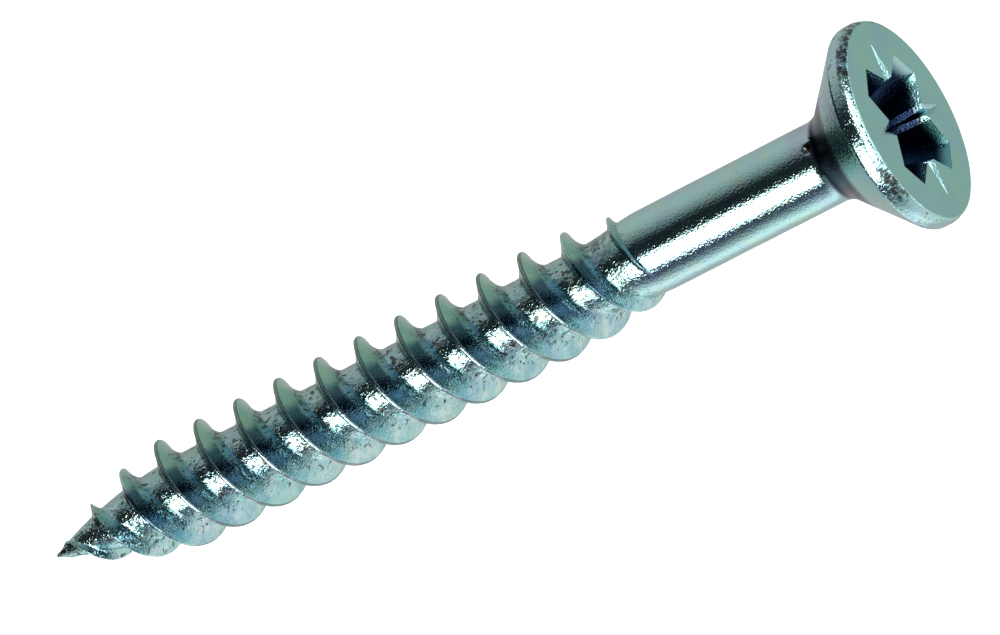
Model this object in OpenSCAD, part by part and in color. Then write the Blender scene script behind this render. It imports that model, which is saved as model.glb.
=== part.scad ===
// Countersunk wood screw: gimlet point, right-hand twin thread, plain shank, 90 degree head
// and a type Z cross recess. Millimetres, axis on Z, head up.
// The origin is the centre of the head's flat face, so the face sits at Z 0.
// The nodes are lengths of one piece of wire, and each meets the next on a flat full section.

/* [Overall] */
// Length from the tip to the head's face
length = 45; // [38:0.5:70]
// Length from the tip to where the thread has faded into the shank
thread_len = 32.2; // [24:0.1:33]
// Length of the gimlet point, where the wire tapers
point_len = 9; // [7:0.1:12]
// Diameter over the thread crests
thread_d = 5; // [4:0.05:6]
// Diameter at the root of the thread
core_d = 3.08; // [2.5:0.02:3.5]
// Diameter of the plain shank
shank_d = 3.62; // [3.2:0.02:4.4]

/* [Head] */
// Diameter of the head
head_d = 9.2; // [7.6:0.05:11.1]
// Included angle of the countersink
sink_angle = 90; // [82:1:100]
// Height of the rim, from the face to where it would meet the countersink in a sharp edge
rim_h = 0.87; // [0.5:0.01:1.1]
// Rounding of the edge between the rim and the face
face_edge_r = 0.16; // [0.05:0.01:0.3]
// Rounding of the shoulder between the rim and the countersink
shoulder_r = 0.7; // [0.2:0.05:1]
// Radius of the hollow under the head, where the countersink runs into the shank
neck_r = 1.2; // [0.6:0.05:1.6]

/* [Cross recess] */
// Distance from the axis to a wing's outer end, at the face
wing_reach = 3.02; // [2.5:0.02:3.3]
// Width of a wing's outer end, at the face
wing_tip_w = 1.46; // [1:0.02:1.6]
// Spread of a wing's side walls towards the axis, seen from above, each side
wing_spread = 14.5; // [5:0.5:18]
// Depth of the wings
wing_depth = 2.5; // [1.8:0.05:2.7]
// Lean of a wing's outer end from upright
wing_end_lean = 32; // [26:0.5:36]
// Lean of a wing's side walls from upright
wing_draft = 4; // [1:0.5:6]
// Diameter of the round middle at the face
middle_d = 3.9; // [3.2:0.05:4]
// Diameter of the round middle at its foot
foot_d = 2.4; // [2:0.05:3]
// How much further down the round middle goes than the wings
middle_drop = 0.2; // [0.05:0.05:0.3]
// Included angle of the cone under the wings
bottom_angle = 130; // [118:1:150]
// Distance from the axis to the outer end of a tick mark
tick_reach = 3.5; // [3:0.02:3.8]
// Width of a tick mark's groove where it meets the recess
tick_w = 0.66; // [0.2:0.02:0.7]
// Depth of a tick mark's groove where it meets the recess
tick_depth = 0.18; // [0.1:0.02:0.8]
// Distance from the axis to the edge of a corner groove, at the face
notch_reach = 2.65; // [2.4:0.05:2.9]
// Turn of the wings about the axis
wing_turn = 45; // [0:1:89]

/* [Thread] */
// Number of threads that wind side by side
starts = 2; // [1:1:3]
// Axial distance from one crest to the next
pitch = 2.163; // [1.8:0.001:2.6]
// Width of the crest
crest_w = 0.17; // [0.1:0.01:0.25]
// Axial width of the flank on the point's side
lead_flank_w = 0.52; // [0.4:0.01:0.65]
// Axial width of the hollow flank on the head's side
trail_flank_w = 0.76; // [0.5:0.01:0.9]
// Angle about Z at which the line of a crest meets the plane of the tip
thread_turn = 141; // [0:1:359]
// Length over which the crest grows to its full height, from the tip
grow_len = 7.4; // [6:0.1:8]
// Length over which the crest fades into the shank
fade_len = 6; // [3:0.1:7]
// Length over which the root rises to the shank
rise_len = 3.1; // [1:0.1:4]
// Radius of the blunt tip
tip_r = 0.06; // [0.04:0.01:0.1]

/* [Hidden] */

zinc = [0.66, 0.76, 0.76];
$fn = 96;
over = 0.3;         // how far a cutter stands above the face
arc_steps = 6;      // chords in each rounded edge
sides = 30;         // columns of thread facets round the axis
core_curve = 2.4;   // bluntness of the root's taper at the point
crest_curve = 1.72; // bluntness of the crest's taper at the point
fade_curve = 2.7;   // how late the crest drops as it fades
lead_mid = 0.45;    // share of the ridge's height halfway up the flank on the point's side
trail_high = 0.5;   // the same a third of the way down the hollow flank
trail_low = 0.11;   // and two thirds of the way down it
slim = 0.15;        // least share of its full width that the ridge keeps where it is low
notch_foot = 1.3;    // distance from the axis to that edge at the foot of its cutter
notch_depth = 1.9;   // depth of the cutter; the groove itself fades into the middle above it
notch_spread = 14;   // angle of each side of a corner groove to its middle, degrees
notch_inset = 0.55;  // where its cutter starts, as a share of the middle's radius
tick_inset = 0.8;   // where a tick mark's cutter starts, as a share of the middle's radius

thread_r = thread_d / 2;
core_r = core_d / 2;
shank_r = shank_d / 2;
head_r = head_d / 2;
middle_r = middle_d / 2;
foot_r = foot_d / 2;
sink = sink_angle / 2;

// Heights down from the face. The hollow under the head turns from upright to the countersink's lean.
neck_out = neck_r * (1 - cos(sink));
neck_down = neck_r * sin(sink);
sink_down = (head_r - shank_r - neck_out) / tan(sink);
head_h = rim_h + sink_down + neck_down;

// The ridge's section as rows: axial distance from the middle of the crest, and share of its height.
ridge = [
    [-crest_w / 2 - lead_flank_w, 0],
    [-crest_w / 2 - lead_flank_w / 2, lead_mid],
    [-crest_w / 2, 1],
    [crest_w / 2, 1],
    [crest_w / 2 + trail_flank_w / 3, trail_high],
    [crest_w / 2 + trail_flank_w * 2 / 3, trail_low],
    [crest_w / 2 + trail_flank_w, 0]
];
rows = len(ridge);

// A curve from 0 to 1 with level ends.
function ease(x) = x <= 0 ? 0 : x >= 1 ? 1 : x * x * (3 - 2 * x);

// A blunt curve from 0 at the tip to 1 at the given length.
function ogive(u, len, power) = u <= 0 ? 0 : u >= len ? 1 : 1 - pow(1 - u / len, power);

// Radius at the root of the thread, at height u above the tip.
function root_at(u) =
    tip_r + (core_r - tip_r) * ogive(u, point_len, core_curve)
    + (shank_r - core_r) * ease((u - thread_len + rise_len) / rise_len);

// Height of the ridge above its root, at height u above the tip.
function ridge_at(u) =
    let (grown = max(0, thread_r * ogive(u, grow_len, crest_curve) - root_at(u)),
         faded = min(1, max(0, (u - thread_len + fade_len) / fade_len)))
    grown * (1 - pow(faded, fade_curve));

// Row i and column j of the threaded surface, as height above the tip and radius.
// Once round, a crest has climbed by as many crests as there are starts, so row i in the
// column after the last is the same point as row i + starts * rows in column 0.
function skin(i, j) =
    let (turn = floor(i / rows),
         row = ridge[i - turn * rows],
         crest = pitch * (turn + starts * (j / sides - thread_turn / 360)),
         swell = min(1, ridge_at(crest) / (thread_r - core_r)),
         u = crest + row[0] * max(slim, swell))
    [u, root_at(u) + row[1] * ridge_at(crest)];

first_row = -rows * (starts + 1);
last_row = rows * ceil(thread_len / pitch + starts + 1);
surface = [for (i = [first_row : last_row]) [for (j = [0 : sides - 1]) skin(i, j)]];
function at(i, j) = surface[i - first_row][j];

// The last row of column j at or below height u, and the radius of the surface at u.
function row_below(j, u) =
    max([for (i = [first_row : last_row - 1]) if (at(i, j)[0] <= u) i]);
function radius_at(j, u) =
    let (i = row_below(j, u), a = at(i, j), b = at(i + 1, j))
    a[1] + (b[1] - a[1]) * (u - a[0]) / (b[0] - a[0]);

// A closed length of the threaded part, cut flat at heights u0 and u1 above the tip.
module threaded(u0, u1) {
    low = [for (j = [0 : sides - 1]) row_below(j, u0)];
    high = [for (j = [0 : sides - 1]) row_below(j, u1) + 1];
    low_r = [for (j = [0 : sides - 1]) radius_at(j, u0)];
    high_r = [for (j = [0 : sides - 1]) radius_at(j, u1)];
    bottom = min(low);
    top = max(high);

    function place(j, u, r) =
        let (a = 360 * j / sides) [r * cos(a), r * sin(a), u - length];
    function corner(i, j) =
        i <= low[j] ? place(j, u0, low_r[j])
        : i >= high[j] ? place(j, u1, high_r[j])
        : place(j, at(i, j)[0], at(i, j)[1]);
    // Number of the corner at row i and column j, counted on past the last column.
    function id(i, j) =
        let (k = j % sides, n = i + (j == sides ? starts * rows : 0))
        (max(low[k], min(high[k], n)) - bottom) * sides + k;
    function whole(t) = t[0] != t[1] && t[1] != t[2] && t[2] != t[0];

    facets = [for (i = [bottom - starts * rows : top - 1], j = [0 : sides - 1])
        each [[id(i, j), id(i + 1, j + 1), id(i, j + 1)],
              [id(i, j), id(i + 1, j), id(i + 1, j + 1)]]];
    polyhedron(
        points = [for (i = [bottom : top], j = [0 : sides - 1]) corner(i, j)],
        faces = concat(
            [for (t = facets) if (whole(t)) t],
            [[for (j = [0 : sides - 1]) id(low[j], j)]],
            [[for (j = [sides - 1 : -1 : 0]) id(high[j], j)]]
        )
    );
}

// Points of an arc about centre c, from angle a0 to angle a1.
function arc(c, r, a0, a1) = [
    for (i = [0 : arc_steps])
        let (a = a0 + (a1 - a0) * i / arc_steps)
        [c.x + r * cos(a), c.y + r * sin(a)]
];

// Half outline of the head: axis, hollow neck, countersink, shoulder, rim and face.
module head_outline() {
    // The shoulder is tangent to the rim and to the countersink.
    shoulder_up = shoulder_r * tan((90 - sink) / 2);
    polygon(concat(
        [[0, 0], [0, -head_h]],
        arc([shank_r + neck_r, -head_h], neck_r, 180, 180 - sink),
        arc([head_r - shoulder_r, -rim_h + shoulder_up], shoulder_r, sink - 90, 0),
        arc([head_r - face_edge_r, -face_edge_r], face_edge_r, 0, 90)
    ));
}

// A solid between two convex outlines of the same number of points, at heights z0 below z1.
module loft(lower, z0, upper, z1) {
    n = len(lower);
    polyhedron(
        points = concat([for (p = lower) [p.x, p.y, z0]], [for (p = upper) [p.x, p.y, z1]]),
        faces = concat(
            [[for (i = [0 : n - 1]) i]],
            [[for (i = [n - 1 : -1 : 0]) n + i]],
            [for (i = [0 : n - 1]) [i, n + i, n + (i + 1) % n, (i + 1) % n]]
        )
    );
}

// A wing seen from above: a wedge from the axis out, narrower at its outer end.
function wing_outline(reach, tip) =
    let (root = tip + reach * tan(wing_spread))
    [[0, -root], [reach, -tip], [reach, tip], [0, root]];

module wing() {
    lean = tan(wing_end_lean);
    draft = tan(wing_draft);
    loft(wing_outline(wing_reach - wing_depth * lean, wing_tip_w / 2 - wing_depth * draft),
         -wing_depth,
         wing_outline(wing_reach + over * lean, wing_tip_w / 2 + over * draft),
         over);
}

// The round middle and the cone under it.
module recess_middle() {
    middle_depth = wing_depth + middle_drop;
    bottom_h = foot_r / tan(bottom_angle / 2);
    flare = (middle_r - foot_r) / middle_depth;
    rotate_extrude()
        polygon([
            [0, over],
            [middle_r + over * flare, over],
            [foot_r, -middle_depth],
            [0, -middle_depth - bottom_h]
        ]);
}

// A shallow V groove that fades out across the face.
// The outline of a corner groove's cutter whose edge is at the given distance.
function groove_outline(reach) =
    let (inner = middle_r * notch_inset, half = (reach - inner) * tan(notch_spread))
    [[inner, -half], [reach, 0], [inner, half]];

module corner_groove() {
    // A steep groove down the corner between two wings, for the driver's small ribs.
    lean = (notch_reach - notch_foot) / notch_depth;
    loft(groove_outline(notch_foot), -notch_depth, groove_outline(notch_reach + over * lean), over);
}

module tick_mark() {
    // The groove carries on inwards past the recess's edge, and upwards past the face.
    start = middle_r * tick_inset;
    run = (tick_reach - start) / (tick_reach - middle_r);
    depth = tick_depth * run;
    grow = (depth + over) / depth;
    half = tick_w / 2 * run * grow;
    polyhedron(
        points = [
            [start, 0, -depth],
            [start, -half, over],
            [start, half, over],
            [start + (tick_reach - start) * grow, 0, over]
        ],
        faces = [[0, 1, 2], [0, 3, 1], [0, 2, 3], [1, 3, 2]]
    );
}

module cross_recess() {
    recess_middle();
    for (a = [0 : 90 : 270]) rotate(a) wing();
    for (a = [45 : 90 : 315]) rotate(a) {
        tick_mark();
        corner_groove();
    }
}

module head() {
    color(zinc)
    difference() {
        rotate_extrude() head_outline();
        rotate(wing_turn) cross_recess();
    }
}

module shank() {
    color(zinc)
    translate([0, 0, thread_len - length])
        cylinder(h = length - thread_len - head_h, r = shank_r);
}

module thread() {
    color(zinc) threaded(point_len, thread_len);
}

module gimlet_point() {
    color(zinc) threaded(0, point_len);
}

head();
shank();
thread();
gimlet_point();
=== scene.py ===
# %% [markdown]
# # A zinc-plated wood screw
# The screw is one piece of steel wire. A punch has pressed its head and its cross recess cold,
# dies have rolled its two threads, and then it has been plated with bright zinc. Four lengths
# of it were designed as solids: head, shank, thread and gimlet point. This lesson makes
# a fine surface for each length, in the place that the design gives it, and then the plating
# and the studio that it reflects. Lengths are in millimetres until a piece is finished.

# %% The frame
import math

import bmesh
import bpy
from mathutils import Matrix, Vector, noise


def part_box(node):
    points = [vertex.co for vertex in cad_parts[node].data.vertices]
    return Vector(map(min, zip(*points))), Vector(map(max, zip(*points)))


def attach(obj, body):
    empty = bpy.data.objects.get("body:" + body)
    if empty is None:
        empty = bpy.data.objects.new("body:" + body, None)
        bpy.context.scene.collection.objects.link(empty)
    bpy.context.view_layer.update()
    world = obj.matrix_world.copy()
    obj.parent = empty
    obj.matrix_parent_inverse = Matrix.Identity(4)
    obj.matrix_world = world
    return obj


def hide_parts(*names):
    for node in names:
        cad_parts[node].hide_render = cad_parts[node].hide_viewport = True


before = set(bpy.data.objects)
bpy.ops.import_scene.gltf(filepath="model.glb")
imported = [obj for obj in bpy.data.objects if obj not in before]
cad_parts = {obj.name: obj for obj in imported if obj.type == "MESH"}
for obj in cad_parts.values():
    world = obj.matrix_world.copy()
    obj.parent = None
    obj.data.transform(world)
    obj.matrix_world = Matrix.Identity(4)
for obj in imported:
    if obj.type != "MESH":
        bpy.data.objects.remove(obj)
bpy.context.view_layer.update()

MM = 0.001

# %% [markdown]
# ## Sizes
# The places where one length ends and the next begins come from the frame, and so do the
# outer radii. What the frame doesn't say, such as the pitch, is named here as the design
# has it. Heights along the thread are measured upwards from the tip, as a thread roller would.
# LEAD is the side of a ridge that faces the tip, and TRAIL the side that faces the head. The
# ridges grow over GROW_LEN from the tip, and fade over FADE_LEN below the shank, while the root
# rises to the shank over RISE_LEN. The CURVE values say how bluntly. SLIM is the least width of
# a ridge, as a share of its full width, and the INSET values are shares of MIDDLE_R.

# %% Sizes from the frame
LENGTH = -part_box("gimlet_point")[0].z / MM
POINT_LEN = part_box("gimlet_point")[1].z / MM + LENGTH
THREAD_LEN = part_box("thread")[1].z / MM + LENGTH
HEAD_H = -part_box("head")[0].z / MM
HEAD_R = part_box("head")[1].x / MM
SHANK_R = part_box("shank")[1].x / MM
THREAD_TOP = THREAD_LEN - LENGTH
POINT_TOP = POINT_LEN - LENGTH
print(f"length {LENGTH:.2f}, point {POINT_LEN:.2f}, thread ends at {THREAD_LEN:.2f}")
print(f"head {2 * HEAD_R:.2f} across and {HEAD_H:.3f} high, shank {2 * SHANK_R:.2f} across")

# %% Sizes of the thread
STARTS = 2
PITCH = 2.163
THREAD_R = 2.5
CORE_R = 1.54
CREST_W = 0.17
LEAD_W = 0.52
TRAIL_W = 0.76
THREAD_TURN = 141
GROW_LEN = 7.4
FADE_LEN = 6
RISE_LEN = 3.1
TIP_R = 0.06
CORE_CURVE = 2.4
CREST_CURVE = 1.72
FADE_CURVE = 2.7
SLIM = 0.15

# %% Sizes of the head and its recess
RIM_H = 0.87
RIM_TAPER = 0.13
RIM_TAPER_H = 0.34
RIM_BEND_R = 0.55
FACE_EDGE_R = 0.12
SHOULDER_R = 0.3
NECK_R = 1.2
WING_REACH = 3.02
WING_TIP_W = 1.46
WING_SPREAD = math.radians(14.5)
WING_DEPTH = 2.5
WING_END_LEAN = math.radians(32)
WING_DRAFT = math.radians(4)
MIDDLE_R = 1.95
FOOT_R = 1.2
MIDDLE_DROP = 0.2
BOTTOM_ANGLE = math.radians(130)
TICK_REACH = 3.5
TICK_W = 0.66
TICK_DEPTH = 0.18
TICK_INSET = 0.8
NOTCH_REACH = 2.65
NOTCH_FOOT = 1.3
NOTCH_DEPTH = 1.9
NOTCH_INSET = 0.55
NOTCH_SPREAD = math.radians(14)

# %% [markdown]
# ## Helpers for the meshes
# Every length is a lathe shape, so one outline in the XZ plane is spun about the axis with
# the same number of steps for all of them. Then the ring of points at the end of one length
# is the ring at the start of the next, and the joints between them don't show.

# %% An outline and its spin
STEPS = 144
MERGE = 1e-4


def outline(bm, points):
    """Joins points (x, z) into a line in the XZ plane."""
    verts = [bm.verts.new((x, 0, z)) for x, z in points]
    for one, two in zip(verts, verts[1:]):
        bm.edges.new((one, two))
    return verts


def round_corner(bm, vert, radius, segments):
    """Rounds a corner of a line with an arc of the given radius."""
    one, two = [(e.other_vert(vert).co - vert.co).normalized() for e in vert.link_edges]
    inside = one.angle(two) / 2
    bmesh.ops.bevel(bm, geom=[vert], offset=radius / math.tan(inside), offset_type="OFFSET",
                    segments=segments, profile=0.5, affect="VERTICES", material=-1)


def spin_closed(bm):
    """Spins the whole line once round Z and closes the seam and the poles."""
    bmesh.ops.spin(bm, geom=bm.verts[:] + bm.edges[:], cent=(0, 0, 0), axis=(0, 0, 1),
                   angle=math.tau, steps=STEPS, use_merge=True)
    bmesh.ops.remove_doubles(bm, verts=bm.verts[:], dist=MERGE)


def cap_ends(bm):
    """Closes each open end with one flat face."""
    rims = [e for e in bm.edges if e.is_boundary]
    bmesh.ops.holes_fill(bm, edges=rims, sides=0)


def subdivide_longer(bm, edges, limit):
    """Cuts edges so that none is longer than the limit."""
    for edge in edges:
        cuts = math.ceil(edge.calc_length() / limit) - 1
        if cuts > 0:
            bmesh.ops.subdivide_edges(bm, edges=[edge], cuts=cuts)


# %% [markdown]
# ## A surface that isn't perfect
# A rolled and plated screw is never quite smooth. The dies leave the thread's root pitted
# and wavy, the lower crests are nicked, and the shank keeps a faint waviness from the wire and
# one pit near the neck. These marks are real shape, so they move the points in or out from the
# axis. The function only looks at where a point is, so two lengths that meet still agree along
# their shared ring.

# %% Waviness and die marks
WAVE = 0.009
WAVES_PER_MM = 0.7
ROOT_ROUGH = 0.011
ROOT_EDGE_R = 2.1
MARKS_PER_MM = 3.1
CREST_NICK = 0.022
NICKED_R = 2.3
NICKS_TOP = -13
NICKS_PER_MM = 1.7
PIT = Vector((-0.85, -1.6, -4.0))
PIT_R = 0.28
PIT_DEPTH = 0.12


def ease(x):
    """A curve from 0 to 1 with level ends."""
    x = min(1, max(0, x))
    return x * x * (3 - 2 * x)


def unevenness(point):
    """How far a point of the surface stands out from its smooth place."""
    radius = math.hypot(point.x, point.y)
    wave = WAVE * noise.noise(point * WAVES_PER_MM)
    rolled = ease((THREAD_TOP - point.z) / 2.5)
    root = rolled * ease((ROOT_EDGE_R - radius) / 0.5) * ease((point.z + LENGTH - 1) / 3)
    marks = noise.noise(point * MARKS_PER_MM) + 0.55 * noise.noise(point * 6.5)
    nicked = ease((radius - NICKED_R) / 0.15) * (1 - ease(point.z - NICKS_TOP))
    nicks = min(0, noise.noise(point * NICKS_PER_MM) + 0.15) + 0.3 * noise.noise(point * 4.3)
    pit = ease(1 - (point - PIT).length / PIT_R)
    return wave + ROOT_ROUGH * root * marks + CREST_NICK * nicked * nicks - PIT_DEPTH * pit


def roughen(bm):
    """Moves every point in or out from the axis by its unevenness."""
    for vert in bm.verts:
        radius = math.hypot(vert.co.x, vert.co.y)
        if radius > TIP_R:
            grow = 1 + unevenness(vert.co) / radius
            vert.co.x *= grow
            vert.co.y *= grow


# %% [markdown]
# ## Finishing a piece
# A finished piece is turned from millimetres to metres, gets an object at the origin, rides
# on the screw's one body and stands for its length of the design. Its end faces are hidden
# inside the steel. Their edges are marked sharp, so that smooth shading stops there. Faces
# that look straight up are shaded flat, because those round the recess are long and thin and
# would show streaks if they were smooth.

# %% From bmesh to a piece
END_ANGLE = math.radians(60)
STRAIGHT_UP = 0.9999


def make_object(bm, name):
    """Turns a bmesh into an object of the same size, with its faces outwards."""
    bmesh.ops.recalc_face_normals(bm, faces=bm.faces[:])
    mesh = bpy.data.meshes.new(name)
    bm.to_mesh(mesh)
    bm.free()
    obj = bpy.data.objects.new(name, mesh)
    bpy.context.scene.collection.objects.link(obj)
    return obj


def finish_piece(bm, name, node, ends):
    """Makes the piece that stands for a node, with sharp rims where it ends."""
    bm.normal_update()
    for face in bm.faces:
        face.smooth = face.normal.z < STRAIGHT_UP
    for edge in bm.edges:
        level = [any(abs(v.co.z - end) < MERGE for end in ends) for v in edge.verts]
        edge.smooth = not (all(level) and edge.calc_face_angle(0) > END_ANGLE)
    bmesh.ops.scale(bm, vec=(MM, MM, MM), verts=bm.verts[:])
    obj = make_object(bm, name)
    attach(obj, "root")
    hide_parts(node)
    print(f"{name}: {len(obj.data.polygons)} faces")
    return obj


# %% [markdown]
# ## The shank
# The plain shank is the wire itself. It could be a cylinder primitive, but it is a line
# spun about the axis like the rest, with a row every tenth of a millimetre, so that the
# waviness and the pit near the neck are part of the shape.

# %% Shank
ROW = 0.1
bm = bmesh.new()
outline(bm, [(SHANK_R, THREAD_TOP), (SHANK_R, -HEAD_H)])
subdivide_longer(bm, bm.edges[:], ROW)
spin_closed(bm)
roughen(bm)
cap_ends(bm)
shank = finish_piece(bm, "plain_shank", "shank", (THREAD_TOP, -HEAD_H))

# %% [markdown]
# ## The thread and the gimlet point
# Two threads wind side by side round the wire, like the two strands of a rope. A ridge could
# be swept along each helix and joined to a core, but then the foot of the ridge would be
# a seam. Instead one column of points, with the ridge's section repeated up it, is spun with
# a rise of two pitches a turn, which gives a plain tube whose rows already follow the helix.
# Each point is then moved out to the root or up the ridge by formulas: the root tapers at
# the point and rises to the shank, and the ridge grows from the tip and fades at the top. The
# crest's two corners have a row close on each side, so that they catch the light as thin lines.

# %% The taper of the root and the height of the ridge
def ogive(height, length, power):
    """A blunt curve from 0 at the tip to 1 at the given length."""
    return 1 - (1 - min(1, max(0, height / length))) ** power


def root_at(height):
    """Radius at the root of the thread."""
    taper = TIP_R + (CORE_R - TIP_R) * ogive(height, POINT_LEN, CORE_CURVE)
    return taper + (SHANK_R - CORE_R) * ease((height - THREAD_LEN + RISE_LEN) / RISE_LEN)


def ridge_at(height):
    """Height of the ridge above its root."""
    grown = max(0, THREAD_R * ogive(height, GROW_LEN, CREST_CURVE) - root_at(height))
    faded = min(1, max(0, (height - THREAD_LEN + FADE_LEN) / FADE_LEN))
    return grown * (1 - faded ** FADE_CURVE)


def swell_at(height):
    """Width of the ridge as a share of its full width."""
    return max(SLIM, min(1, ridge_at(height) / (THREAD_R - CORE_R)))


for height in (2, 6, 12, 28, 31):
    print(f"{height} above the tip: root {root_at(height):.2f}, ridge {ridge_at(height):.2f}")

# %% The section of the ridge
HALF_CREST = CREST_W / 2
LEAD_END = -HALF_CREST - LEAD_W
TRAIL_END = HALF_CREST + TRAIL_W
LEAD_POWER = 1.15
TRAIL_POWER = 1.85
CROWN = 0.03
HOLD = 0.014
LEAD_ROWS, CREST_ROWS, TRAIL_ROWS, ROOT_ROWS = 6, 3, 9, 8


def share_at(offset):
    """Share of the ridge's height at an axial distance from the middle of the crest."""
    if offset < -HALF_CREST:
        return (1 - CROWN) * max(0, 1 - (-HALF_CREST - offset) / LEAD_W) ** LEAD_POWER
    if offset <= HALF_CREST:
        return 1 - CROWN * (offset / HALF_CREST) ** 2
    return (1 - CROWN) * max(0, 1 - (offset - HALF_CREST) / TRAIL_W) ** TRAIL_POWER


def settle(crest, offset):
    """Height of a row, given the height of its crest and its distance from it."""
    if offset <= TRAIL_END:
        return crest + offset * swell_at(crest)
    low = crest + TRAIL_END * swell_at(crest)
    high = crest + PITCH + LEAD_END * swell_at(crest + PITCH)
    return low + (high - low) * (offset - TRAIL_END) / (PITCH + LEAD_END - TRAIL_END)


def evenly(start, end, count):
    """Values from start up to, but not including, end."""
    return [start + (end - start) * i / count for i in range(count)]


section = (evenly(LEAD_END, -HALF_CREST - HOLD, LEAD_ROWS)
           + evenly(-HALF_CREST - HOLD, -HALF_CREST + HOLD, 2)
           + evenly(-HALF_CREST + HOLD, HALF_CREST - HOLD, CREST_ROWS)
           + evenly(HALF_CREST - HOLD, HALF_CREST + HOLD, 2)
           + evenly(HALF_CREST + HOLD, TRAIL_END, TRAIL_ROWS)
           + evenly(TRAIL_END, PITCH + LEAD_END, ROOT_ROWS))
print(len(section), "rows from one crest to the next")

# %% Threaded lengths
HELIX_MERGE = 2e-3
CUT_MERGE = 1e-5


def threaded(low, high):
    """A closed threaded length between two heights above the tip."""
    bm = bmesh.new()
    rise = PITCH * STARTS
    start = -rise * THREAD_TURN / 360
    turns = range(-STARTS - 1 + int(low / PITCH), STARTS + 2 + int(high / PITCH))
    outline(bm, [(1, start + PITCH * turn + offset) for turn in turns for offset in section])
    bmesh.ops.spin(bm, geom=bm.verts[:] + bm.edges[:], cent=(0, 0, 0), axis=(0, 0, 1),
                   dvec=(0, 0, rise / STEPS), angle=math.tau, steps=STEPS)
    bmesh.ops.remove_doubles(bm, verts=bm.verts[:], dist=HELIX_MERGE)
    for vert in bm.verts:
        angle = math.atan2(vert.co.y, vert.co.x)
        helix = rise * (angle / math.tau - THREAD_TURN / 360)
        offset = (vert.co.z - helix - LEAD_END) % PITCH + LEAD_END
        crest = vert.co.z - offset
        height = settle(crest, offset)
        radius = root_at(height) + share_at(offset) * ridge_at(crest)
        vert.co = (radius * math.cos(angle), radius * math.sin(angle), height - LENGTH)
    roughen(bm)
    for level, side in ((low, -1), (high, 1)):
        bmesh.ops.bisect_plane(bm, geom=bm.verts[:] + bm.edges[:] + bm.faces[:], dist=CUT_MERGE,
                               plane_co=(0, 0, level - LENGTH), plane_no=(0, 0, side),
                               clear_outer=True)
    cap_ends(bm)
    return bm


bm = threaded(POINT_LEN, THREAD_LEN)
thread = finish_piece(bm, "twin_thread", "thread", (POINT_TOP, THREAD_TOP))
bm = threaded(0, POINT_LEN)
point = finish_piece(bm, "screw_point", "gimlet_point", (-LENGTH, POINT_TOP))

# %% [markdown]
# ## The head
# The head's outline runs from the neck's hollow, up the countersink, round the shoulder and
# over the rim to the face. Seven points are enough, because the neck, the shoulder, the bend
# in the rim and the edge of the face are corners that are bevelled round before the spin. The
# upper part of the rim leans in a little towards the face, as the header's die leaves it. The
# fine rows stop at a ring on the face, and inside it the recess is cut from one flat disc.
# NECK_FIT keeps the neck's arc just short of the outline's first point.

# %% Head blank
FACE_RING = 3.92
HEAD_ROW = 0.12
NECK_FIT = 0.995
neck_corner = NECK_R * math.tan(math.pi / 8)
bm = bmesh.new()
line = outline(bm, [
    (SHANK_R, -HEAD_H),
    (SHANK_R, -HEAD_H + neck_corner),
    (HEAD_R, -RIM_H),
    (HEAD_R, -RIM_TAPER_H),
    (HEAD_R - RIM_TAPER, 0),
    (FACE_RING, 0),
    (0, 0),
])
round_corner(bm, line[1], NECK_R * NECK_FIT, 12)
round_corner(bm, line[2], SHOULDER_R, 8)
round_corner(bm, line[3], RIM_BEND_R, 4)
round_corner(bm, line[4], FACE_EDGE_R, 5)
outside = [e for e in bm.edges if min(v.co.x for v in e.verts) > 0]
subdivide_longer(bm, outside, HEAD_ROW)
print("outline points:", len(bm.verts))
spin_closed(bm)
roughen(bm)
cap_ends(bm)
blank = make_object(bm, "blank")
print("blank:", len(blank.data.polygons), "faces")

# %% [markdown]
# ## The cross recess
# A punch with four wings, a round middle and four sharp edges at the corners between them
# makes a type Z recess. Each part of the punch is a convex solid, so a few corner points and
# the convex hull operator make it, and a Boolean modifier presses it into the head. A light
# bevel along every sharp edge then gives the bright lines that real pressed edges show.

# %% The punch
OVER = 0.3


def hull(name, points):
    """The convex solid round some points."""
    bm = bmesh.new()
    for point in points:
        bm.verts.new(point)
    bmesh.ops.convex_hull(bm, input=bm.verts[:])
    return make_object(bm, name)


def wing_corners(depth):
    """The four corners of a wing at a depth below the face, pointing along X."""
    reach = WING_REACH - depth * math.tan(WING_END_LEAN)
    tip = WING_TIP_W / 2 - depth * math.tan(WING_DRAFT)
    root = tip + reach * math.tan(WING_SPREAD)
    return [(0, -root, -depth), (reach, -tip, -depth), (reach, tip, -depth), (0, root, -depth)]


def tick_corners():
    """A shallow groove that fades out across the face, pointing along X."""
    start = MIDDLE_R * TICK_INSET
    run = (TICK_REACH - start) / (TICK_REACH - MIDDLE_R)
    depth = TICK_DEPTH * run
    grow = (depth + OVER) / depth
    half = TICK_W / 2 * run * grow
    return [(start, 0, -depth), (start, -half, OVER), (start, half, OVER),
            (start + (TICK_REACH - start) * grow, 0, OVER)]


def notch_corners():
    """The steep groove down the corner between two wings, pointing along X."""
    lean = (NOTCH_REACH - NOTCH_FOOT) / NOTCH_DEPTH
    inner = MIDDLE_R * NOTCH_INSET
    corners = []
    for depth in (-OVER, NOTCH_DEPTH):
        reach = NOTCH_REACH - depth * lean
        half = (reach - inner) * math.tan(NOTCH_SPREAD)
        corners += [(reach, 0, -depth), (inner, -half, -depth), (inner, half, -depth)]
    return corners


def turned(obj, degrees):
    """Turns a mesh about the axis, in its own points."""
    obj.data.transform(Matrix.Rotation(math.radians(degrees), 4, "Z"))
    return obj


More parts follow.
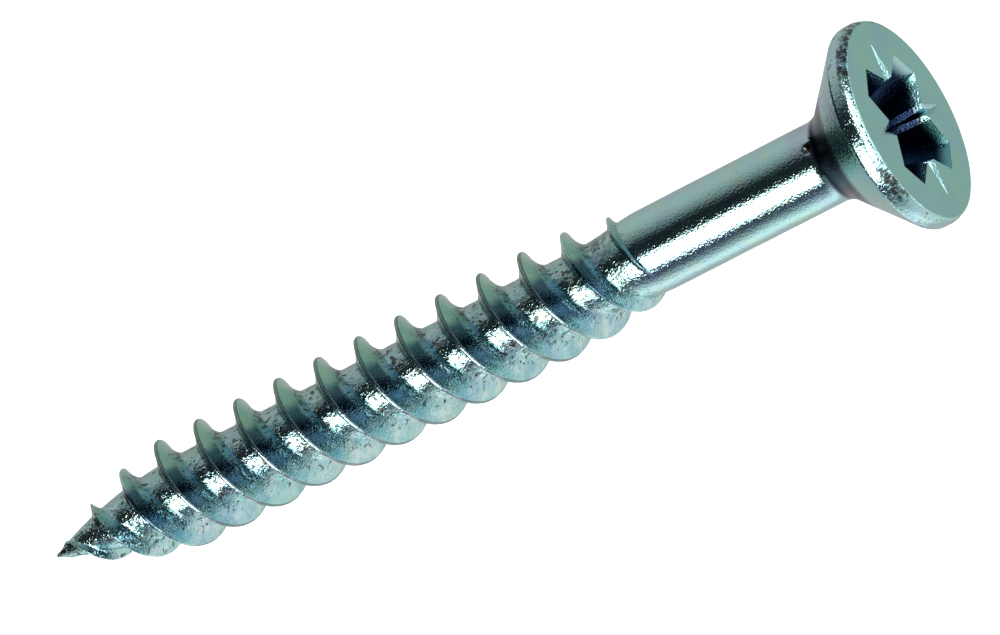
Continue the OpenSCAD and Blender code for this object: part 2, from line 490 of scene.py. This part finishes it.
middle_depth = WING_DEPTH + MIDDLE_DROP
flare = (MIDDLE_R - FOOT_R) / middle_depth
bm = bmesh.new()
outline(bm, [(0, OVER), (MIDDLE_R + OVER * flare, OVER), (FOOT_R, -middle_depth),
             (0, -middle_depth - FOOT_R / math.tan(BOTTOM_ANGLE / 2))])
spin_closed(bm)
punch = [make_object(bm, "punch_middle")]
for quarter in range(4):
    across, between = 45 + 90 * quarter, 90 * quarter
    wing = hull("punch_wing", wing_corners(WING_DEPTH) + wing_corners(-OVER))
    punch.append(turned(wing, across))
    punch.append(turned(hull("punch_tick", tick_corners()), between))
    punch.append(turned(hull("punch_notch", notch_corners()), between))
print(len(punch), "parts of the punch")

# %% Pressing the recess
EDGE_BEVEL = 0.035
SHARP = math.radians(24)
PRESS_MERGE = 1e-3
MARGIN = 0.1


def press(obj, cutters):
    """Cuts each cutter out of the object and gives the result as a bmesh."""
    for cutter in cutters:
        cut = obj.modifiers.new("press", "BOOLEAN")
        cut.operation = "DIFFERENCE"
        cut.solver = "MANIFOLD"
        cut.object = cutter
    bpy.context.view_layer.update()
    bm = bmesh.new()
    bm.from_object(obj, bpy.context.evaluated_depsgraph_get())
    for used in (obj, *cutters):
        bpy.data.objects.remove(used)
    return bm


bm = press(blank, punch)
bmesh.ops.remove_doubles(bm, verts=bm.verts[:], dist=PRESS_MERGE)
bmesh.ops.dissolve_degenerate(bm, edges=bm.edges[:], dist=PRESS_MERGE)
pressed_edges = [e for e in bm.edges if e.calc_face_angle(0) > SHARP
                 and max(math.hypot(v.co.x, v.co.y) for v in e.verts) < TICK_REACH + MARGIN
                 and e.verts[0].co.z > -HEAD_H + MARGIN]
bmesh.ops.bevel(bm, geom=pressed_edges, offset=EDGE_BEVEL, offset_type="OFFSET", segments=2,
                profile=0.5, affect="EDGES", clamp_overlap=True, material=-1)
print("pressed edges:", len(pressed_edges), "open edges:", sum(e.is_boundary for e in bm.edges))
head = finish_piece(bm, "pressed_head", "head", (-HEAD_H,))
weigh = head.modifiers.new("flats stay flat", "WEIGHTED_NORMAL")
weigh.keep_sharp = True

# %% [markdown]
# ## Arithmetic for shaders
# A pattern is easier to read as a sum than as a web of nodes. This class holds one socket.
# Adding or multiplying two of them, or one and a number, adds the Math node that does it,
# and every other kind of node comes from one method. Sockets go by their labels, or by number
# where several share one, as on Math and Mix nodes.

# %% A socket that Python can do sums with
MIX_FACTOR, MIX_FROM, MIX_TO, MIX_RESULT = 0, 6, 7, 2


class Flow:
    """A shader socket, with arithmetic for values and a method for every other node."""

    def __init__(self, tree, socket=None):
        self.tree = tree
        self.socket = socket

    def node(self, kind, settings=None, inputs=None, output=0):
        """Adds a node, sets it up, then gives its inputs values or links."""
        made = self.tree.nodes.new(kind)
        for name, value in (settings or {}).items():
            if name == "stops":
                fill_ramp(made.color_ramp, value)
            else:
                setattr(made, name, value)
        for name, value in (inputs or {}).items():
            if isinstance(value, Flow):
                self.tree.links.new(value.socket, made.inputs[name])
            else:
                made.inputs[name].default_value = value
        return Flow(self.tree, made.outputs[output])

    def math(self, operation, one, two=0.0):
        return self.node("ShaderNodeMath", {"operation": operation}, {0: one, 1: two})

    def __add__(self, other):
        return self.math("ADD", self, other)

    def __sub__(self, other):
        return self.math("SUBTRACT", self, other)

    def __mul__(self, other):
        return self.math("MULTIPLY", self, other)

    def __rsub__(self, other):
        return self.math("SUBTRACT", other, self)

    __radd__ = __add__
    __rmul__ = __mul__

    def step(self, low, high):
        """Rises smoothly from 0 at low to 1 at high, or falls where high is the smaller."""
        return self.node("ShaderNodeMapRange", {"interpolation_type": "SMOOTHSTEP"},
                         {"Value": self, "From Min": low, "From Max": high})

    def between(self, low, high, soft):
        """1 between two values, with soft edges outside them."""
        return self.step(low - soft, low) * self.step(high + soft, high)

    def mix(self, one, two):
        """Goes from one colour to another as this value goes from 0 to 1."""
        return self.node("ShaderNodeMix", {"data_type": "RGBA"},
                         {MIX_FACTOR: self, MIX_FROM: one, MIX_TO: two}, MIX_RESULT)


def fill_ramp(ramp, stops):
    """Gives a colour ramp its stops, as pairs of a place and a colour."""
    while len(ramp.elements) > 1:
        ramp.elements.remove(ramp.elements[0])
    for place, colour in stops:
        element = ramp.elements[0] if place == stops[0][0] else ramp.elements.new(place)
        element.position = place
        element.color = colour


def rgb(red, green, blue):
    """A colour with full alpha."""
    return (red, green, blue, 1)


def grey(level, blue=0.0):
    """A neutral colour, or one that leans to blue."""
    return rgb(level * (1 - blue), level, level * (1 + blue))


# %% [markdown]
# ## Zinc plating
# Bright zinc is a mirror with a bluish green cast, broken up by grains a tenth of
# a millimetre across that the plating bath leaves. One colour with noise on it would look like
# paint, so the cast drifts in clouds and patches, and each zone of the screw has its own. Left
# is towards -X and right towards +X, as the upright screw is seen from the front:
# - The thread's root is coarser, because it was rolled over scale, and holds dark pits and
#   brown stains. It is browner along the foot of the ridges on the left, and has painted shade
#   on the left.
# - The ridges' flanks are blotched pale and deep, with a painted green reflection on the left
#   and painted dark shade down the middle, where they would otherwise mirror the bright root.
# - Crests have painted brown shade on the left and right and a painted highlight between.
# - Parts of the upper rim have mottled painted brown shade, and the neck is tinged mauve on the
#   left.
# - Below its edge the recess has painted shade, dark and blue.
#
# All lengths share one set of rules that read only where a point is, in millimetres, so the
# plating runs on across the joints.

# %% Where a point of the surface is
class Spot:
    """Where a point of the screw lies, and masks for the zones of its surface."""

    def __init__(self, start):
        metres = start.node("ShaderNodeTexCoord", output="Object")
        self.place = start.node("ShaderNodeVectorMath", {"operation": "SCALE"},
                                {0: metres, "Scale": 1 / MM})
        split = start.node("ShaderNodeSeparateXYZ", inputs={0: self.place}).socket.node
        self.across = Flow(start.tree, split.outputs["X"])
        self.height = Flow(start.tree, split.outputs["Z"])
        ground = start.node("ShaderNodeVectorMath", {"operation": "MULTIPLY"},
                            {0: self.place, 1: (1, 1, 0)})
        self.radius = start.node("ShaderNodeVectorMath", {"operation": "LENGTH"},
                                 {0: ground}, "Value")
        self.rolled = self.height.step(THREAD_TOP + 0.3, THREAD_TOP - 2.5)
        self.root = self.rolled * self.radius.step(2.2, 1.7)
        self.crest = self.rolled * self.radius.step(2.42, 2.46)
        self.rim = self.radius.step(4.36, 4.44) * self.height.step(-0.95, -0.85)
        self.left = self.across.step(-0.4, -1.4)
        self.right = self.across.step(1.4, 2.0)
        self.coarse = self.mottle(3.6, 2.0, 0.6, shift=(7, 3, 1))

    def mottle(self, scale, detail, rough, shift=(0, 0, 0), stretch=(1, 1, 1)):
        """Noise with the given number of patches a millimetre."""
        moved = self.place.node("ShaderNodeMapping", inputs={
            "Vector": self.place, "Location": shift, "Scale": stretch})
        return self.place.node("ShaderNodeTexNoise", inputs={
            "Vector": moved, "Scale": scale, "Detail": detail, "Roughness": rough})


# %% The colour of the zinc, with painted shade and reflection
TEAL = rgb(0.42, 0.68, 0.64)
SKY = rgb(0.42, 0.62, 0.68)
MOSS = rgb(0.47, 0.67, 0.55)
MAUVE = rgb(0.47, 0.50, 0.62)
# A painted green reflection for the flanks on the left.
LEAF_REFLECTION = rgb(0.44, 0.68, 0.48)
PALE = rgb(0.66, 0.80, 0.76)
DEEP = rgb(0.25, 0.52, 0.56)
# Painted shade for the root on the left.
SLATE_SHADE = rgb(0.28, 0.42, 0.40)
NAVY_SHADE = rgb(0.022, 0.06, 0.125)


def zinc_colour_with_painted_light(spot):
    """The zinc's cast with painted shade and reflection, as layers with their masks, lowest
    first.
    """
    clouds = spot.mottle(0.55, 3.0, 0.5, shift=(2, 9, 4))
    patches = spot.mottle(0.9, 2.0, 0.5, shift=(11, 5, 8))
    blotches = spot.mottle(1.7, 3.0, 0.6, shift=(4, 1, 15))
    rolled, across, radius = spot.rolled, spot.across, spot.radius
    # Painted reflection: the flanks on the left are tinted greener.
    painted_green_flank = rolled * radius.step(1.8, 2.1) * across.step(-0.9, -1.6)
    # Painted shade: the flanks are darkened down the middle, where they would mirror the bright
    # root.
    painted_flank_shade = rolled * radius.step(1.74, 1.92) * across.between(-0.9, 0.7, 0.5)
    neck = spot.height.between(-4.6, -3.2, 0.6) * across.step(0.2, -1.0)
    layers = (
        (patches.step(0.52, 0.70) * 0.7, MOSS),
        (blotches.step(0.50, 0.62) * rolled * 0.7, PALE),
        (blotches.step(0.46, 0.34) * rolled * 0.7, DEEP),
        # Painted shade: the root is darker on the left.
        (spot.root * across.step(-0.5, -1.2) * 0.6, SLATE_SHADE),
        (painted_green_flank * 0.5, LEAF_REFLECTION),
        (painted_flank_shade * 0.8, NAVY_SHADE),
        (patches.step(0.46, 0.30) * 0.1 + 0.6 * neck, MAUVE),
    )
    colour = clouds.step(0.42, 0.66).mix(TEAL, SKY)
    for mask, tint in layers:
        colour = mask.mix(colour, tint)
    return colour


# %% Stains and painted shade
def stains_and_painted_shade(spot):
    """How brown it is: specks, a browner foot, and painted shade on the rim and crests."""
    specks = spot.mottle(5.0, 2.0, 0.6, shift=(1, 13, 6), stretch=(1, 1, 0.7))
    more = 0.04 * spot.root
    brown_stain_and_shade = specks.step(0.60 - more, 0.70 - more) * (0.12 + 0.8 * spot.root + 0.5 * spot.rim)
    # The root is browner along the foot of the ridges on the left.
    foot = spot.rolled * spot.radius.between(1.60, 1.72, 0.06) * spot.left
    # Painted shade: mottled brown on parts of the upper rim.
    scale = spot.across.step(-1.9, -2.6) + spot.across.between(1.3, 2.6, 0.3)
    scale = scale * spot.rim * spot.height.step(-0.5, -0.36)
    for gathered in (foot * spot.coarse.step(0.40, 0.60) * 0.8,
                     scale * spot.coarse.step(0.66, 0.42) * 0.95,
                     # Painted shade: crests browner on the left and right.
                     spot.crest * (spot.left + spot.right) * 0.6):
        brown_stain_and_shade = brown_stain_and_shade.math("MAXIMUM", brown_stain_and_shade, gathered)
    return brown_stain_and_shade


# %% The plating
# Painted highlight colour for the crests.
PAINTED_HIGHLIGHT = rgb(0.80, 0.86, 0.84)
# Brown for real stains and for painted shade.
STAIN_AND_SHADE = rgb(0.085, 0.062, 0.05)
# Painted shade for the recess.
RECESS_SHADE = rgb(0.012, 0.022, 0.062)
BUMP_HEIGHT = 0.022 * MM


def plating(name, recess=False, pit=False):
    """A material for plated steel, with what only some lengths have."""
    material = bpy.data.materials.new(name)
    material.use_nodes = True
    tree = material.node_tree
    spot = Spot(Flow(tree))
    brown_stain_and_shade = stains_and_painted_shade(spot)
    # Painted highlight: crests lighter in the middle, between their shaded left and right.
    crest_highlight = spot.crest * (0.6 - 0.6 * spot.left - 0.6 * spot.right)
    colour = crest_highlight.mix(brown_stain_and_shade.mix(zinc_colour_with_painted_light(spot), STAIN_AND_SHADE), PAINTED_HIGHLIGHT)
    # Painted shade: the recess is darkened below its edge.
    if recess:
        inside = spot.height.step(-0.06, -0.55) * spot.height.step(-3.9, -3.6)
        inside = inside * spot.radius.step(3.3, 2.9)
        colour = (inside * 0.985).mix(colour, RECESS_SHADE)
    if pit:
        away = spot.place.node("ShaderNodeVectorMath", {"operation": "DISTANCE"},
                               {0: spot.place, 1: tuple(PIT)}, "Value")
        colour = (away.step(PIT_R * 0.95, PIT_R * 0.65) * 0.97).mix(colour, STAIN_AND_SHADE)

    roughness = 0.08 + 0.10 * spot.coarse + 0.12 * brown_stain_and_shade + 0.05 * spot.crest
    grain = spot.mottle(10.0, 1.0, 0.6)
    bumps = (grain * (0.75 + 0.2 * spot.root)
             + spot.coarse * (0.18 + 1.5 * spot.root + 0.3 * spot.rim) - 0.5 * brown_stain_and_shade)
    bump = spot.place.node("ShaderNodeBump", inputs={
        "Strength": 1.0, "Distance": BUMP_HEIGHT, "Height": bumps})
    shader = tree.nodes["Principled BSDF"]
    shader.inputs["Metallic"].default_value = 1
    for socket, value in (("Base Color", colour), ("Roughness", roughness), ("Normal", bump)):
        tree.links.new(value.socket, shader.inputs[socket])
    print(f"{name}: {len(tree.nodes)} nodes")
    return material


head.data.materials.append(plating("zinc_on_the_head", recess=True, pit=True))
shank.data.materials.append(plating("zinc_on_the_shank", pit=True))
thread_zinc = plating("zinc_on_the_thread")
for piece in (thread, point):
    piece.data.materials.append(thread_zinc)

# %% [markdown]
# ## The studio
# Polished metal shows its surroundings and little else, so the surroundings make the picture.
# A small bright part looks its best with a soft window of light in front of it, a dark card
# round the window so that the highlight has a crisp edge, and pale paper all round. Panels
# and lamps could be built as objects, but here the sky does it all: it has a colour for each
# direction, by its bearing round the screw from the front and its level above the horizon, in
# degrees. Only reflections see it. The camera sees plain white paper.

# %% Surroundings by direction
world = bpy.data.worlds.new("studio")
bpy.context.scene.world = world
world.use_nodes = True
tree = world.node_tree
tree.nodes.clear()
start = Flow(tree)
direction = start.node("ShaderNodeTexCoord", output="Generated")
split = start.node("ShaderNodeSeparateXYZ", inputs={0: direction}).socket.node
x, y, z = (Flow(tree, split.outputs[i]) for i in range(3))
bearing = start.math("ARCTAN2", x, -1 * y) * (180 / math.pi)
level = start.math("ARCSINE", z) * (180 / math.pi)


def round_the_screw(*stops):
    """A colour for each bearing, from pairs of a bearing and a colour, lowest first."""
    places = [((degrees + 180) / 360, colour) for degrees, colour in stops]
    return start.node("ShaderNodeValToRGB", {"stops": places},
                      {0: bearing * (1 / 360) + 0.5})


low_walls = round_the_screw(
    (-180, grey(0.50)), (-150, grey(0.47)), (-127, grey(0.56)), (-98, grey(0.62, 0.02)),
    (-77, grey(0.52, 0.03)), (-60, grey(0.33, 0.05)), (-46, grey(0.12, 0.08)),
    (-38, grey(0.04)), (-4, grey(0.02)), (40, grey(0.03)), (52, rgb(0.07, 0.07, 0.13)),
    (66, rgb(0.10, 0.11, 0.17)), (76, grey(0.40, 0.1)), (90, grey(0.72, 0.06)),
    (101, grey(1.35, 0.04)), (116, grey(1.3, 0.02)), (132, grey(0.62)), (180, grey(0.50)))
high_walls = round_the_screw(
    (-180, rgb(0.42, 0.52, 0.49)), (-150, rgb(0.33, 0.42, 0.38)), (-132, rgb(0.28, 0.37, 0.32)),
    (-100, rgb(0.21, 0.35, 0.40)), (-70, rgb(0.11, 0.22, 0.32)),
    (-40, grey(0.07, 0.5)), (0, grey(0.04, 0.5)), (40, grey(0.07, 0.5)),
    (60, grey(0.42, 0.22)), (80, grey(0.72, 0.08)), (110, grey(0.92, 0.03)),
    (145, grey(0.84)), (166, rgb(0.46, 0.54, 0.52)), (180, rgb(0.42, 0.52, 0.49)))
walls = level.step(-12, 6).mix(low_walls, high_walls)
ceiling = level.step(60, 72)
table = level.step(-46, -60) * 0.9
frame_card = bearing.between(-38, 46, 8) * level.between(-74, 8, 6)
keel_card = x.between(-0.66, -0.04, 0.04) * y.step(0.52, 0.46) * level.step(-48, -53)
curtain = bearing.between(8, 38, 8) * level.between(-14, 20, 10)
window = bearing.between(6, 39, 4) * level.between(-38, -12, 3)
for panel, colour in (
        (ceiling, rgb(0.42, 0.62, 0.74)),
        (table, rgb(0.44, 0.53, 0.51)),
        (start.math("MAXIMUM", frame_card, keel_card), grey(0.02, 0.2)),
        (curtain, rgb(1.3, 1.7, 1.75)),
        (window, grey(5.0))):
    walls = panel.mix(walls, colour)
is_camera = start.node("ShaderNodeLightPath", output="Is Camera Ray")
seen = is_camera.mix(walls, grey(0.97))
sky = start.node("ShaderNodeBackground", inputs={"Color": seen, "Strength": 1.0})
out = tree.nodes.new("ShaderNodeOutputWorld")
tree.links.new(sky.socket, out.inputs["Surface"])

# %% [markdown]
# ## Floor, lamp and camera
# The floor is a plain sheet of pale paper four centimetres under the point, and one wide lamp
# overhead lights it without a shadow. Neither shows in the metal. Three small soft boxes light
# the head alone: one draws the white line along its rim, one catches the far edges of the
# recess, and one fills the tick marks. The camera stands off to the front and above, with
# a long lens, and is rolled so that the screw lies across the picture. From here on, lengths
# are in metres, as Blender has them.

# %% Floor and lamp
FLOOR_R = 3.0
FLOOR_GAP = 0.04
bm = bmesh.new()
bmesh.ops.create_circle(bm, cap_ends=True, segments=96, radius=FLOOR_R,
                        matrix=Matrix.Translation((0, 0, -LENGTH * MM - FLOOR_GAP)))
floor = make_object(bm, "floor")
paper = bpy.data.materials.new("paper")
paper.use_nodes = True
fibre = Flow(paper.node_tree).node("ShaderNodeTexNoise", inputs={"Scale": 40.0, "Detail": 2.0})
tint = fibre.mix(grey(0.86), grey(0.90))
paper_shader = paper.node_tree.nodes["Principled BSDF"]
paper.node_tree.links.new(tint.socket, paper_shader.inputs["Base Color"])
paper_shader.inputs["Roughness"].default_value = 1
paper_shader.inputs["Specular IOR Level"].default_value = 0
floor.data.materials.append(paper)
floor.visible_glossy = False
floor.visible_shadow = False

overhead_light = bpy.data.lights.new("overhead", "SUN")
overhead_light.energy = 3.4
overhead_light.angle = math.radians(120)
overhead_light.use_shadow = False
overhead = bpy.data.objects.new("overhead", overhead_light)
overhead.rotation_euler = (math.radians(-12), math.radians(8), 0)
overhead.visible_glossy = False
bpy.context.scene.collection.objects.link(overhead)

# %% Three lamps for the head alone
LAMP_DISTANCE = 0.3
lit = bpy.data.collections.new("lit_by_the_head_lamps")
lit.objects.link(head)


def head_lamp(name, bearing_angle, level_angle, width, height, energy):
    """A soft box for the head alone, at a bearing and level in degrees and facing the origin."""
    around, above = math.radians(bearing_angle), math.radians(level_angle)
    toward = Vector((math.sin(around) * math.cos(above), -math.cos(around) * math.cos(above),
                     math.sin(above)))
    light = bpy.data.lights.new(name, "AREA")
    light.shape = "RECTANGLE"
    light.size = width
    light.size_y = height
    light.energy = energy
    lamp = bpy.data.objects.new(name, light)
    turn = toward.to_track_quat("Z", "Y").to_matrix().to_4x4()
    lamp.matrix_world = Matrix.Translation(LAMP_DISTANCE * toward) @ turn
    lamp.visible_camera = False
    bpy.context.scene.collection.objects.link(lamp)
    lamp.light_linking.receiver_collection = lit


head_lamp("rim_lamp", -17, 15, width=0.5, height=0.06, energy=0.6)
head_lamp("edge_lamp", 0, 64, width=0.36, height=0.12, energy=0.45)
head_lamp("tick_lamp", 180, 58, width=0.30, height=0.11, energy=0.17)

# %% Camera
AIM = Vector((-0.000444, 0, -0.020790))
DISTANCE = 0.374361
ELEVATION = math.radians(26.2)
ROLL = math.radians(62.82)
lens = bpy.data.cameras.new("camera")
lens.sensor_width = 36
lens.lens = 320.43
camera = bpy.data.objects.new("camera", lens)
bpy.context.scene.collection.objects.link(camera)
forward = Vector((0, math.cos(ELEVATION), -math.sin(ELEVATION)))
level_up = Vector((0, math.sin(ELEVATION), math.cos(ELEVATION)))
up = math.cos(ROLL) * level_up - math.sin(ROLL) * Vector((1, 0, 0))
right = forward.cross(up)
camera.matrix_world = Matrix.Translation(AIM - forward * DISTANCE) @ Matrix(
    (right, up, -forward)).transposed().to_4x4()
bpy.context.scene.camera = camera
bpy.context.scene.view_settings.view_transform = "Standard"
print("camera at, mm:", [round(v / MM, 1) for v in camera.matrix_world.translation])
